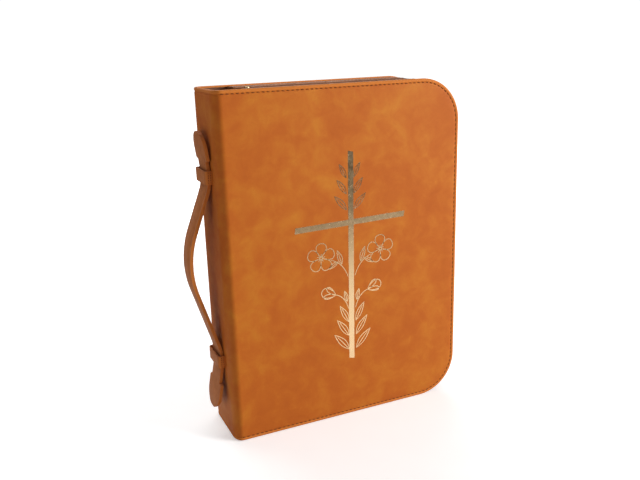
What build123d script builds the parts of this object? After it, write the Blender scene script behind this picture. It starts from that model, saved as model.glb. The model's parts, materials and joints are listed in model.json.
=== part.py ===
from build123d import *
import os

# A zipped leather Bible case with a carrying strap on its spine, and the Bible in it.
# Millimetres. X runs from the spine to the opening edge, Y from the front cover to the
# back cover, and Z is up. Shapes are drawn with x = 0 on the spine's outer face and are
# shifted onto the frame when they are written.

# Case
case_height = 260.0
case_width = 194.0
case_thickness = 55.0
fold_radius = 5.0  # outer radius of the leather where the spine turns into a cover
corner_radius = 32.5  # the two outer corners of each cover
fold_split = 0.3  # slit between spine leather and cover leather, along the fold

# Layers, each a thickness
leather = 1.2
cover_board = 2.0
spine_board = 1.5
lining = 0.6
sleeve = 0.5
pocket = 0.5
bible_board = 1.5
bible_spine = 1.2
endpaper = 0.3

# Clearances
fit_gap = 0.1  # round a piece that lies inside another piece of its own body
moving_gap = 0.5  # between layers that slide over each other as the book opens
half_gap = 0.2  # from the middle plane to each half of the leaves

# Zip panel, measured in from the edge of the covers
panel_drop = 1.0  # the panel lies this far below the cover's edge
panel_start = 26.0  # from the spine's face
panel_flange = 7.0  # width of the seam that lies flat on the board
panel_reach = 8.0  # from the middle plane to the panel's free edge
tape = 0.6
tape_start = 28.0
tape_overlap = 4.0  # under the panel
tape_edge = 1.0  # from the middle plane to the tape's edge
tape_cut = 0.05  # between its straight length and the lengths round the corners
teeth_edge = 0.4
teeth_width = 2.4
teeth_start = 35.0
stop_length = 3.0
stop_width = 3.0
stop_height = 1.7

# Slider and pull
slider_length = 11.0
slider_width = 8.0
slider_front = 3.0  # how far the plates reach past the middle plane towards the front
slider_plate = 0.8
slider_above = 0.7  # outer plate over the teeth
slider_below = 0.3  # inner plate under the tape
slider_web = 0.5
slider_lip = 0.8
slider_lip_gap = 0.3
slider_gap = 0.4  # between the two sliders, nose to nose
bridge_length = 6.0
bridge_width = 2.0
bridge_window = 1.9
bridge_bar = 0.8
bridge_post = 1.0
pin_radius = 0.5
arm_width = 1.1
arm_gap = 0.4  # between an arm of the pull and the bridge
arm_length = 7.5
pull_length = 24.0
pull_width = 6.0
pull_thickness = 1.0
pull_corner = 1.2
upper_pull_lean = 3.0  # degrees: it points up and leans on the zip

# Inside the covers
sleeve_reach = 84.0  # how far the sleeve covers the Bible's board
sleeve_margin = 10.0  # from the case's top and bottom edges
sleeve_rim = 1.5
pocket_size = (62.0, 84.0)
pocket_inset = (14.0, 24.0)  # from the sleeve's lower corner nearest the spine
pocket_corner_radius = 4.0
pen_loop_bore = 4.8
pen_loop_wall = 1.0
pen_loop_length = 25.0
pen_loop_margin = 45.0  # from the case's top

# Bible
bible_start = 8.0  # the boards' edge at the spine
bible_edge_gap = 22.0  # from the boards' edge to the case's opening edge
bible_margin = 12.5  # from the case's top and bottom edges
leaf_margin = 3.0  # the boards stand out this far past the leaves
leaf_corner = 6.0
headband = 1.8
ribbon_width = 10.0
ribbon = 0.3
ribbon_place = 62.0
ribbon_top = 6.0  # below the leaves' upper edge
ribbon_tail = 9.0  # below the leaves' lower edge

# Carrying strap: margins are from the case's top or foot, reaches from the spine's face
strap_thickness = 2.4
strap_width = 19.0
leaf_width = 27.0
leaf_tip_radius = 13.0
leaf_shoulder_radius = 2.0
spine_clearance = 0.4
keeper_clearance = 1.6  # over the strap
keeper_side_gap = 1.9
keeper_wall = 1.1
keeper_height = 9.6
keeper_corner = 2.2
keeper_margin = 60.2
upper_tip_margin = 28.6
upper_shoulder_margin = 49.0
upper_tip_reach = 4.9
lower_tip = 20.6
lower_shoulder = 42.3
lower_tip_reach = 8.2
grip_peak_offset = 7.5  # the grip's highest bow is this far above the middle
grip_peak_reach = 22.8  # where the two straight runs of the grip would meet
grip_radius = 70.0
grip_bend_radius = 28.0
leaf_bend_radius = 40.0
bend_start = 2.5  # from a keeper's edge to the point where the strap turns outward

middle = case_height / 2
half_case = case_thickness / 2
upper_keeper_height = case_height - keeper_margin
lower_keeper_height = keeper_margin
upper_tip = case_height - upper_tip_margin
upper_shoulder = case_height - upper_shoulder_margin
grip_peak_height = middle + grip_peak_offset

# Depths below a cover's outer face
board_depth = leather + cover_board
lining_depth = board_depth + lining
bible_board_depth = lining_depth + fit_gap
sleeve_depth = bible_board_depth + bible_board + fit_gap
pocket_depth = sleeve_depth + sleeve
endpaper_depth = pocket_depth + pocket + moving_gap
leaf_depth = endpaper_depth + endpaper

# The leaves turn about a line as far from the spine's face as the middle plane is from a
# cover's face, so they lie as close to an open cover as to a closed one.
leaf_pivot = half_case
leaf_thickness = half_case - leaf_depth
leaf_foot = bible_margin + leaf_margin
leaf_head = case_height - leaf_foot
bible_end = case_width - bible_edge_gap
leaf_end = bible_end - leaf_margin
sleeve_start = bible_end - sleeve_reach
sleeve_end = bible_end + fit_gap + sleeve_rim

spine_depth = leather + spine_board + lining
spine_flat = case_thickness - 2 * fold_radius

# Insets of the zip's layers from the covers' edge
panel_inner = panel_drop + leather
tape_inner = panel_inner + tape
plate_outer = panel_drop - slider_above
plate_face = plate_outer - slider_plate
plate_inner = tape_inner + slider_below
bridge_face = plate_face - bridge_window - bridge_bar
pin_inset = plate_face - bridge_window / 2
slider_step = (slider_length + slider_gap) / 2

keeper_reach = spine_clearance + strap_thickness + keeper_clearance
keeper_inner_width = strap_width + 2 * keeper_side_gap
strap_centre = spine_clearance + strap_thickness / 2


def ring_sector(outer, inner, start, size):
    """Part of a flat ring round the origin, from one angle through another."""
    outer_arc = CenterArc((0, 0), outer, start, size)
    inner_arc = CenterArc((0, 0), inner, start, size)
    ends = [Line(outer_arc @ 0, inner_arc @ 0), Line(outer_arc @ 1, inner_arc @ 1)]
    return make_face([outer_arc, inner_arc, *ends])


def slab(outline, low, high):
    """An outline drawn in x and z, from y = low to y = high."""
    return Pos(0, high, 0) * extrude(Plane.XZ * outline, high - low)


def box(x, y, z):
    """A block between two x, two y and two z values."""
    centre = [sum(ends) / 2 for ends in (x, y, z)]
    return Pos(*centre) * Box(*[abs(ends[1] - ends[0]) for ends in (x, y, z)])


def corner_rectangle(x, y):
    """A rectangle between two x and two y values of its sketch."""
    centre = (sum(x) / 2, sum(y) / 2)
    return Pos(*centre) * Rectangle(x[1] - x[0], y[1] - y[0])


def cover_outline(start, inset):
    """Outline of a cover, square at the spine and round at its two outer corners."""
    outline = corner_rectangle((start, case_width - inset), (inset, case_height - inset))
    return fillet(outline.vertices().group_by(Axis.X)[-1], corner_radius - inset)


def edge_band(start, outer, inner):
    """The strip of a cover's outline between two insets, open at the spine."""
    return cover_outline(start, outer) - cover_outline(start - inner, inner)


def cover_slab(outline, depth, thickness):
    """A layer of the back cover, from a depth below its outer face."""
    return slab(outline, half_case - depth - thickness, half_case - depth)


def fold_leather(start, size):
    """The leather round the fold between the spine and the back cover, over an angle."""
    ring = ring_sector(fold_radius, fold_radius - leather, start, size)
    return Pos(fold_radius, half_case - fold_radius, 0) * extrude(ring, case_height)


def fold_slit():
    """The clearance along the fold, on the diagonal through the fold's centre."""
    slit = Box(4 * fold_radius, fold_split, 2 * case_height)
    return Pos(fold_radius, half_case - fold_radius, 0) * Rot(0, 0, -45) * slit


# Cover pieces, drawn for the back cover


def cover_leather():
    skin = cover_slab(cover_outline(fold_radius, 0), 0, board_depth)
    tray = cover_slab(cover_outline(0, leather), leather, cover_board)
    return skin - tray + (fold_leather(90, 45) - fold_slit())


def cover_stiffener():
    outline = cover_outline(fold_radius + moving_gap, leather + fit_gap)
    return cover_slab(outline, leather, cover_board)


def cover_lining():
    outline = cover_outline(fold_radius + moving_gap, panel_drop + panel_flange + fit_gap)
    return cover_slab(outline, board_depth, lining)


def zip_panel():
    wall = edge_band(panel_start, panel_drop, panel_inner)
    flange = edge_band(panel_start, panel_drop, panel_drop + panel_flange)
    strip = slab(wall, panel_reach, half_case - board_depth)
    return strip + cover_slab(flange, board_depth, lining)


def zip_tape():
    """A straight length, where the sliders run, and a length round each corner."""
    band = edge_band(tape_start, panel_inner, tape_inner)
    whole = slab(band, tape_edge, panel_reach + tape_overlap)
    ends = (corner_radius, case_height - corner_radius)
    cuts = [(end - tape_cut / 2, end + tape_cut / 2) for end in ends]
    return whole - [box((0, case_width), (0, half_case), cut) for cut in cuts]


def zip_teeth():
    band = edge_band(teeth_start, panel_drop, panel_inner)
    return slab(band, teeth_edge, teeth_edge + teeth_width)


def board_sleeve():
    """A pocket sheet with a sewn rim, open towards the spine, round the Bible's board."""
    sheet = corner_rectangle((sleeve_start, sleeve_end), (sleeve_margin, case_height - sleeve_margin))
    opening = bible_outline(fit_gap)
    rim = cover_slab(sheet - opening, lining_depth, sleeve_depth - lining_depth)
    return cover_slab(sheet, sleeve_depth, sleeve) + rim


def bible_outline(grow):
    margin = bible_margin - grow
    return corner_rectangle((bible_start - grow, bible_end + grow), (margin, case_height - margin))


def bible_cover():
    return cover_slab(bible_outline(0), bible_board_depth, bible_board)


def leaf_outline():
    outline = corner_rectangle((leaf_pivot, leaf_end), (leaf_foot, leaf_head))
    return fillet(outline.vertices().group_by(Axis.X)[-1], leaf_corner)


def leaves():
    return slab(leaf_outline(), half_gap, half_case - leaf_depth)


def flyleaf():
    return cover_slab(leaf_outline(), endpaper_depth, endpaper)


def leaf_roots():
    """The bound edge of the leaves, which bends as the book opens."""
    quarter = ring_sector(leaf_thickness, half_gap, 90, 90)
    quarter = quarter - Rectangle(2 * half_case, 2 * half_gap)
    height = leaf_head - leaf_foot
    return Pos(leaf_pivot, 0, leaf_foot) * extrude(quarter, height)


# Pieces that only one side has


def card_pocket():
    corner = (sleeve_start + pocket_inset[0], sleeve_margin + pocket_inset[1])
    x, z = [(low, low + size) for low, size in zip(corner, pocket_size)]
    sheet = fillet(corner_rectangle(x, z).vertices(), pocket_corner_radius)
    patch = cover_slab(sheet, pocket_depth, pocket)
    return mirror(patch, about=Plane.XZ)


def pen_loop():
    outer = pen_loop_bore + pen_loop_wall
    ring = Pos(sleeve_end + fit_gap + outer, half_case - lining_depth - outer) * Circle(outer)
    ring -= Pos(sleeve_end + fit_gap + outer, half_case - lining_depth - outer) * Circle(pen_loop_bore)
    return Pos(0, 0, case_height - pen_loop_margin) * extrude(ring, -pen_loop_length)


def ribbon_marker():
    x = (ribbon_place, ribbon_place + ribbon_width)
    return box(x, (half_gap - ribbon, half_gap), (leaf_foot - ribbon_tail, leaf_head - ribbon_top))


def zip_end_stop():
    x = (teeth_start - fit_gap - stop_length, teeth_start - fit_gap)
    top = case_height - panel_inner
    return box(x, (teeth_edge, teeth_edge + stop_width), (top, top + stop_height))


# Spine pieces


def spine_leather():
    half = spine_flat / 2
    skin = box((0, spine_depth), (-half, half), (0, case_height))
    tray = box((leather, spine_depth), (-half, half), (leather, case_height - leather))
    turn = fold_leather(135, 45) - fold_slit()
    return skin - tray + turn + mirror(turn, about=Plane.XZ)


def spine_layer(depth, thickness, edge):
    half = spine_flat / 2 - fit_gap
    return box((depth, depth + thickness), (-half, half), (edge, case_height - edge))


def bible_spine_shell():
    start = spine_depth + fit_gap
    half = half_case - sleeve_depth
    z = (bible_margin, case_height - bible_margin)
    shell = box((start, start + bible_spine), (-half, half), z)
    corners = shell.edges().filter_by(Axis.Z).group_by(Axis.X)[-1]
    return fillet(corners, bible_spine / 2)


def bible_headband(height):
    ring = ring_sector(leaf_thickness, leaf_thickness - headband, 90, 180)
    return Pos(leaf_pivot, 0, height) * extrude(ring, headband)


def keeper(height):
    """A flat loop sewn to the spine, with the strap inside it."""
    half = keeper_inner_width / 2
    outer = half + keeper_wall
    loop = corner_rectangle((-keeper_reach - keeper_wall, 0), (-outer, outer))
    loop = fillet(loop.vertices().group_by(Axis.X)[0], keeper_corner)
    window = corner_rectangle((-keeper_reach, 0), (-half, half))
    window = fillet(window.vertices().group_by(Axis.X)[0], keeper_corner - keeper_wall)
    return Pos(0, 0, height - keeper_height / 2) * extrude(loop - window, keeper_height)


def strap_profile():
    """Side view of the strap: both leaves, the runs in the keepers and the bowed grip."""
    upper_bend = upper_keeper_height - keeper_height / 2 - bend_start
    lower_bend = lower_keeper_height + keeper_height / 2 + bend_start
    upper_neck = upper_keeper_height + keeper_height / 2
    lower_neck = lower_keeper_height - keeper_height / 2
    route = [
        (-upper_tip_reach, upper_tip),
        (-strap_centre, upper_neck),
        (-strap_centre, upper_bend),
        (-grip_peak_reach, grip_peak_height),
        (-strap_centre, lower_bend),
        (-strap_centre, lower_neck),
        (-lower_tip_reach, lower_tip),
    ]
    radii = [leaf_bend_radius, grip_bend_radius, grip_radius, grip_bend_radius, leaf_bend_radius]
    return trace(FilletPolyline(*route, radius=radii), strap_thickness)


def strap_front():
    """The strap seen square on: a narrow band with a wide rounded leaf at each end."""
    half = strap_width / 2
    outline = corner_rectangle((-half, half), (lower_tip, upper_tip))
    for tip, shoulder in ((upper_tip, upper_shoulder), (lower_tip, lower_shoulder)):
        leaf = Pos(0, (tip + shoulder) / 2) * Rectangle(leaf_width, abs(tip - shoulder))
        ends = leaf.vertices().sort_by(lambda corner: abs(corner.Y - tip))
        leaf = fillet(ends[:2], leaf_tip_radius)
        shoulders = leaf.vertices().sort_by(lambda corner: abs(corner.Y - shoulder))
        beyond = Pos(0, tip) * Rectangle(leaf_width, 2 * leaf_tip_radius)
        outline = outline - beyond + fillet(shoulders[:2], leaf_shoulder_radius)
    return outline


def handle_strap():
    side = Pos(0, leaf_width / 2, 0) * extrude(Plane.XZ * strap_profile(), leaf_width)
    reach = 2 * grip_peak_reach
    front = Pos(-reach, 0, 0) * extrude(Plane.YZ * strap_front(), reach)
    return side & front


# Zip sliders and their pulls, drawn for the upper one


def zip_slider():
    edge = case_width
    z = (middle + slider_gap / 2, middle + slider_gap / 2 + slider_length)
    y = (-slider_front, slider_width / 2)
    web = (-slider_web / 2, slider_web / 2)
    body = box((edge - plate_outer, edge - plate_face), y, z)
    body += box((edge - plate_inner - slider_plate, edge - plate_inner), y, z)
    body += box((edge - plate_inner, edge - plate_outer), web, z)
    lip_end = edge - panel_inner + slider_lip_gap
    body += box((lip_end, edge - plate_outer), (slider_width / 2 - slider_lip, slider_width / 2), z)
    centre = middle + slider_step
    hoop_z = (centre - bridge_length / 2, centre + bridge_length / 2)
    hoop_y = (-bridge_width / 2, bridge_width / 2)
    hoop = box((edge - plate_face, edge - bridge_face), hoop_y, hoop_z)
    window_z = (hoop_z[0] + bridge_post, hoop_z[1] - bridge_post)
    window_x = (edge - plate_face, edge - bridge_face - bridge_bar)
    return body + (hoop - box(window_x, hoop_y, window_z))


def zip_pull(lean):
    """A fork and tab that point up from a pin through the slider's bridge."""
    half = bridge_width / 2 + arm_gap
    pin = Rot(90, 0, 0) * Cylinder(pin_radius, 2 * (half + arm_width))
    flat = (-pull_thickness / 2, pull_thickness / 2)
    pull = pin
    for side in (-1, 1):
        pull += box(flat, (side * half, side * (half + arm_width)), (0, arm_length))
    tab = Pos(0, (arm_length + pull_length) / 2) * Rectangle(pull_width, pull_length - arm_length)
    tab = fillet(tab.vertices(), pull_corner)
    pull += Pos(flat[0], 0, 0) * extrude(Plane.YZ * tab, pull_thickness)
    pin_height = middle + slider_step
    return Pos(case_width - pin_inset, 0, pin_height) * Rot(0, -lean, 0) * pull


def mirrored_down(shape):
    """The same shape below the middle of the case."""
    return Pos(0, 0, case_height) * mirror(shape, about=Plane.XY)


cover_pieces = {
    "cover_leather": cover_leather,
    "cover_board": cover_stiffener,
    "lining": cover_lining,
    "gusset": zip_panel,
    "zip_tape": zip_tape,
    "zip_teeth": zip_teeth,
    "sleeve": board_sleeve,
    "bible_board": bible_cover,
    "leaves": leaves,
    "endpaper": flyleaf,
    "leaf_roots": leaf_roots,
}

nodes = {}
for name, make in cover_pieces.items():
    nodes["back_" + name] = make()
    nodes["front_" + name] = mirror(make(), about=Plane.XZ)

lining_inset = leather + fit_gap
nodes["spine_leather"] = spine_leather()
nodes["spine_board"] = spine_layer(leather, spine_board, lining_inset)
nodes["spine_lining"] = spine_layer(leather + spine_board, lining, lining_inset)
nodes["upper_keeper"] = keeper(upper_keeper_height)
nodes["lower_keeper"] = keeper(lower_keeper_height)
nodes["handle_strap"] = handle_strap()
nodes["front_card_pocket"] = card_pocket()
nodes["pen_loop"] = pen_loop()
nodes["upper_slider"] = zip_slider()
nodes["lower_slider"] = mirrored_down(zip_slider())
nodes["upper_pull"] = zip_pull(upper_pull_lean)
nodes["lower_pull"] = mirrored_down(zip_pull(0))
nodes["zip_end_stops"] = Compound([zip_end_stop(), mirrored_down(zip_end_stop())])
nodes["bible_spine"] = bible_spine_shell()
nodes["upper_headband"] = bible_headband(leaf_head + fit_gap)
nodes["lower_headband"] = bible_headband(leaf_foot - fit_gap - headband)
nodes["ribbon_marker"] = ribbon_marker()

# The frame's X origin is midway between the strap's bow and the sliders' bridges.
strap_bow = -nodes["handle_strap"].bounding_box().min.X
shift = (strap_bow - case_width + bridge_face) / 2

os.makedirs("parts", exist_ok=True)
for name, shape in nodes.items():
    export_step(Pos(shift, 0, 0) * shape, "parts/" + name + ".step")
print("ok")
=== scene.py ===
import bpy
import bmesh
import json
import math
import random
from mathutils import Matrix, Vector

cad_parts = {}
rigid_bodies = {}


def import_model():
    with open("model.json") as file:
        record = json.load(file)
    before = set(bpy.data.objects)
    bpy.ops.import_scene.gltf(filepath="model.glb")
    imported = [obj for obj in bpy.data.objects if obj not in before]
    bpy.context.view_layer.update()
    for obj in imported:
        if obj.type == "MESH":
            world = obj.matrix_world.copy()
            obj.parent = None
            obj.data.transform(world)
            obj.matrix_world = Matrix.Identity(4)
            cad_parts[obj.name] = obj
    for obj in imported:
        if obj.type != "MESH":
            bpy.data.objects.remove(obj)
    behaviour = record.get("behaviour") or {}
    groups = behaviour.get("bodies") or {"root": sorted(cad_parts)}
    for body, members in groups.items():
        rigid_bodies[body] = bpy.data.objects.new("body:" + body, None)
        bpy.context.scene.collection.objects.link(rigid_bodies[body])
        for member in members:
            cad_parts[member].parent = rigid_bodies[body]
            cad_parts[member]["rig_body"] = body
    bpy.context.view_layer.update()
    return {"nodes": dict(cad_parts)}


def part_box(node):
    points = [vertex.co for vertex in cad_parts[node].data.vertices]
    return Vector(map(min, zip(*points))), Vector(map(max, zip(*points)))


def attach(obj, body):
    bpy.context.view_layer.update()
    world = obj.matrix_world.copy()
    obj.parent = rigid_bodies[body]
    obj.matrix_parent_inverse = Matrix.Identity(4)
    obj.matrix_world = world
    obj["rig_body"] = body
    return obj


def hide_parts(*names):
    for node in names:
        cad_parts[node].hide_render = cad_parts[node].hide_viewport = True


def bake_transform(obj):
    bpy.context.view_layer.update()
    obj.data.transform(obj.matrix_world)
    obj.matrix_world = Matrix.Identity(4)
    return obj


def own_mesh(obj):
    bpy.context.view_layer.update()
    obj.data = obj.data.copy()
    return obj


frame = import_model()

nodes = frame["nodes"]
mm = 0.001

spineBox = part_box("spine_leather")
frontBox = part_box("front_cover_leather")
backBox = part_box("back_cover_leather")

case = {
    "spineX": spineBox[0].x,
    "edgeX": frontBox[1].x,
    "frontY": frontBox[0].y,
    "backY": backBox[1].y,
    "top": spineBox[1].z,
    "foldRadius": 6.5 * mm,
    "foldStretch": 0.5,
    "cornerRadius": 32.5 * mm,
    "cornerSteps": 22,
    "foldSteps": 10,
}
print("frame loaded")


# ways of working


def pickOnly(obj):
    bpy.ops.object.select_all(action="DESELECT")
    obj.select_set(True)
    bpy.context.view_layer.objects.active = obj


def startEdit(obj, mode="VERT"):
    pickOnly(obj)
    bpy.ops.object.mode_set(mode="EDIT")
    bpy.ops.mesh.select_mode(type=mode)


def endEdit():
    bpy.ops.object.mode_set(mode="OBJECT")


def chooseVerts(obj, test):
    bpy.ops.mesh.select_all(action="DESELECT")
    mesh = bmesh.from_edit_mesh(obj.data)
    for vert in mesh.verts:
        vert.select = test(vert.co)
    mesh.select_flush_mode()
    bmesh.update_edit_mesh(obj.data)


def moveVerts(obj, place):
    mesh = bmesh.from_edit_mesh(obj.data)
    for vert in mesh.verts:
        vert.co = place(vert.co)
    bmesh.update_edit_mesh(obj.data)


def useModifier(obj, kind, **values):
    pickOnly(obj)
    modifier = obj.modifiers.new(kind.lower(), kind)
    for key, value in values.items():
        setattr(modifier, key, value)
    bpy.ops.object.modifier_apply(modifier=modifier.name)


def smoothShade(obj, angle=35):
    pickOnly(obj)
    bpy.ops.object.shade_smooth_by_angle(angle=math.radians(angle))


def settle(obj):
    pickOnly(obj)
    bpy.ops.object.transform_apply(location=True, rotation=True, scale=True)


def finishPiece(obj, body, material, replaced=()):
    obj.data.materials.clear()
    obj.data.materials.append(material)
    if replaced:
        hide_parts(*replaced)
    if body:
        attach(obj, body)


def turnOutward(obj, place, direction):
    startEdit(obj, "FACE")
    bpy.ops.mesh.select_all(action="SELECT")
    bpy.ops.mesh.normals_make_consistent(inside=False)
    endEdit()
    near = min(obj.data.polygons, key=lambda face: (face.center - Vector(place)).length)
    if near.normal.dot(Vector(direction)) < 0:
        startEdit(obj, "FACE")
        bpy.ops.mesh.select_all(action="SELECT")
        bpy.ops.mesh.flip_normals()
        endEdit()


def startProfile(name, points, closed):
    bpy.ops.object.select_all(action="DESELECT")
    bpy.ops.mesh.primitive_circle_add(vertices=len(points), radius=mm)
    obj = bpy.context.active_object
    obj.name = name
    obj.data.name = name
    startEdit(obj)
    mesh = bmesh.from_edit_mesh(obj.data)
    mesh.verts.ensure_lookup_table()
    for vert, point in zip(mesh.verts, points):
        vert.co = point
    if not closed:
        ends = {mesh.verts[0], mesh.verts[-1]}
        for edge in [edge for edge in mesh.edges if set(edge.verts) == ends]:
            mesh.edges.remove(edge)
    bmesh.update_edit_mesh(obj.data)
    bpy.ops.mesh.select_all(action="SELECT")
    return obj


def extrudeBy(x=0, y=0, z=0):
    bpy.ops.mesh.extrude_region_move(TRANSFORM_OT_translate={"value": (x, y, z)})


def runRoundEdge(startX):
    # the selected profile goes from startX along the top, round both corners and back
    radius = case["cornerRadius"]
    cornerX = case["edgeX"] - radius
    extrudeBy(x=cornerX - startX)
    for z, drop in ((case["top"] - radius, -(case["top"] - 2 * radius)), (radius, 0)):
        bpy.ops.mesh.spin(
            steps=case["cornerSteps"], angle=-math.pi / 2, center=(cornerX, 0, z), axis=(0, 1, 0)
        )
        if drop:
            extrudeBy(z=drop)
    extrudeBy(x=startX - cornerX)


def edgePath(startX, inset, pitch):
    # evenly spaced places on the edge line at an inset: x, z and the direction's angle
    radius = case["cornerRadius"] - inset
    straightX = case["edgeX"] - case["cornerRadius"] - startX
    straightZ = case["top"] - 2 * case["cornerRadius"]
    quarter = radius * math.pi / 2
    total = 2 * straightX + 2 * quarter + straightZ
    count = round(total / pitch)
    cornerX = case["edgeX"] - case["cornerRadius"]
    places = []
    for index in range(count):
        along = (index + 0.5) * total / count
        if along < straightX:
            places.append((startX + along, case["top"] - inset, 0.0))
            continue
        along -= straightX
        if along < quarter:
            turn = along / radius
            z = case["top"] - case["cornerRadius"] + radius * math.cos(turn)
            places.append((cornerX + radius * math.sin(turn), z, -turn))
            continue
        along -= quarter
        if along < straightZ:
            z = case["top"] - case["cornerRadius"] - along
            places.append((case["edgeX"] - inset, z, -math.pi / 2))
            continue
        along -= straightZ
        if along < quarter:
            turn = along / radius
            z = case["cornerRadius"] - radius * math.sin(turn)
            places.append((cornerX + radius * math.cos(turn), z, -math.pi / 2 - turn))
            continue
        along -= quarter
        places.append((cornerX - along, inset, -math.pi))
    return places


def edgeInset(x, z):
    # how far a place lies inside the cover's outline
    radius = case["cornerRadius"]
    outX = x - (case["edgeX"] - radius)
    outZ = max(z - (case["top"] - radius), radius - z)
    if outX > 0 and outZ > 0:
        return radius - math.hypot(outX, outZ)
    return radius - max(outX, outZ)


def copyTo(template, name, places):
    mesh = bmesh.new()
    for place in places:
        before = len(mesh.verts)
        mesh.from_mesh(template.data)
        mesh.verts.ensure_lookup_table()
        for vert in mesh.verts[before:]:
            vert.co = place @ vert.co
    data = bpy.data.meshes.new(name)
    mesh.to_mesh(data)
    mesh.free()
    obj = bpy.data.objects.new(name, data)
    bpy.context.scene.collection.objects.link(obj)
    bpy.data.objects.remove(template)
    return obj


def mergedCopy(nodeName, name):
    # the CAD mesh with its loose triangles joined
    data = nodes[nodeName].data.copy()
    data.name = name
    obj = bpy.data.objects.new(name, data)
    bpy.context.scene.collection.objects.link(obj)
    startEdit(obj)
    bpy.ops.mesh.select_all(action="SELECT")
    bpy.ops.mesh.remove_doubles(threshold=0.002 * mm)
    bpy.ops.mesh.dissolve_limited(angle_limit=math.radians(0.6))
    endEdit()
    return obj


def softenedCopy(nodeName, name, bevel, material, segments=2, shape=None):
    # the CAD shape with its edges rounded
    obj = mergedCopy(nodeName, name)
    if shape:
        shape(obj)
    useModifier(
        obj, "BEVEL", width=bevel, segments=segments, limit_method="ANGLE",
        angle_limit=math.radians(40), harden_normals=False,
    )
    smoothShade(obj)
    finishPiece(obj, nodes[nodeName]["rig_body"], material, [nodeName])
    return obj


def refinish(nodeName, material):
    slots = nodes[nodeName].material_slots
    for slot in slots:
        slot.material = material


# materials


def newTree(name):
    material = bpy.data.materials.new(name)
    material.use_nodes = True
    tree = material.node_tree
    shader = tree.nodes["Principled BSDF"]
    return material, tree, shader


def put(tree, kind, values=None, **settings):
    made = tree.nodes.new(kind)
    for key, value in settings.items():
        setattr(made, key, value)
    for key, value in (values or {}).items():
        if isinstance(value, bpy.types.NodeSocket):
            tree.links.new(value, made.inputs[key])
        else:
            made.inputs[key].default_value = value
    return made


def ramp(tree, factor, stops):
    made = put(tree, "ShaderNodeValToRGB", {"Fac": factor})
    elements = made.color_ramp.elements
    while len(elements) < len(stops):
        elements.new(0.5)
    for element, (place, colour) in zip(elements, stops):
        element.position = place
        element.color = (*colour, 1)
    return made.outputs["Color"]


def mixColour(tree, factor, first, second, blend="MIX"):
    made = put(tree, "ShaderNodeMix", data_type="RGBA", blend_type=blend)
    for index, value in ((0, factor), (6, first), (7, second)):
        if isinstance(value, bpy.types.NodeSocket):
            tree.links.new(value, made.inputs[index])
        else:
            made.inputs[index].default_value = value if index == 0 else (*value, 1)
    return made.outputs[2]


def calculate(tree, operation, first, second=None, third=None, clamp=False):
    made = put(tree, "ShaderNodeMath", operation=operation, use_clamp=clamp)
    for index, value in enumerate((first, second, third)):
        if isinstance(value, bpy.types.NodeSocket):
            tree.links.new(value, made.inputs[index])
        elif value is not None:
            made.inputs[index].default_value = value
    return made.outputs[0]


def newGroup(name, inputs, outputs):
    group = bpy.data.node_groups.new(name, "ShaderNodeTree")
    for label, kind, value in inputs:
        socket = group.interface.new_socket(label, in_out="INPUT", socket_type=kind)
        if value is not None:
            socket.default_value = value
    for label, kind in outputs:
        group.interface.new_socket(label, in_out="OUTPUT", socket_type=kind)
    return group, group.nodes.new("NodeGroupInput"), group.nodes.new("NodeGroupOutput")


def makeHideGroup():
    group, inside, outside = newGroup(
        "hideFigure",
        [("Vector", "NodeSocketVector", None), ("Cloud Scale", "NodeSocketFloat", 24.0),
         ("Grain Scale", "NodeSocketFloat", 1500.0)],
        [("Cloud", "NodeSocketFloat"), ("Fleck", "NodeSocketFloat"), ("Height", "NodeSocketFloat")],
    )
    vector = inside.outputs["Vector"]
    wide = put(group, "ShaderNodeTexNoise", {
        "Vector": vector, "Scale": inside.outputs["Cloud Scale"], "Detail": 4.0, "Roughness": 0.55,
        "Distortion": 0.9})
    blotchScale = calculate(group, "MULTIPLY", inside.outputs["Cloud Scale"], 3.4)
    blotch = put(group, "ShaderNodeTexNoise", {
        "Vector": vector, "Scale": blotchScale, "Detail": 5.0, "Roughness": 0.6, "Distortion": 0.5})
    cloud = calculate(group, "MULTIPLY_ADD", wide.outputs["Fac"], 0.52,
                      calculate(group, "MULTIPLY", blotch.outputs["Fac"], 0.48))
    vein = put(group, "ShaderNodeTexNoise", {
        "Vector": vector, "Scale": 13.0, "Detail": 3.0, "Roughness": 0.45, "Distortion": 2.2})
    offLine = calculate(group, "ABSOLUTE", calculate(group, "SUBTRACT", vein.outputs["Fac"], 0.5))
    line = calculate(group, "SUBTRACT", 1.0, calculate(group, "MULTIPLY", offLine, 150.0), clamp=True)
    patch = calculate(group, "MULTIPLY_ADD", blotch.outputs["Fac"], 5.0, -2.3, clamp=True)
    scuff = calculate(group, "MULTIPLY", line, patch)
    cloud = calculate(group, "MULTIPLY_ADD", scuff, 0.055, cloud)
    group.links.new(cloud, outside.inputs["Cloud"])
    fleck = put(group, "ShaderNodeTexNoise", {
        "Vector": vector, "Scale": 620.0, "Detail": 3.0, "Roughness": 0.7})
    group.links.new(fleck.outputs["Fac"], outside.inputs["Fleck"])
    pebble = put(group, "ShaderNodeTexVoronoi", {
        "Vector": vector, "Scale": inside.outputs["Grain Scale"], "Randomness": 1.0},
        feature="DISTANCE_TO_EDGE")
    crease = calculate(group, "MINIMUM", calculate(group, "MULTIPLY", pebble.outputs["Distance"], 3.0), 1.0)
    wrinkle = put(group, "ShaderNodeTexNoise", {
        "Vector": vector, "Scale": 190.0, "Detail": 5.0, "Roughness": 0.62, "Distortion": 1.2})
    height = calculate(group, "MULTIPLY_ADD", wrinkle.outputs["Fac"], 1.6, crease)
    group.links.new(height, outside.inputs["Height"])
    return group


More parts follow.
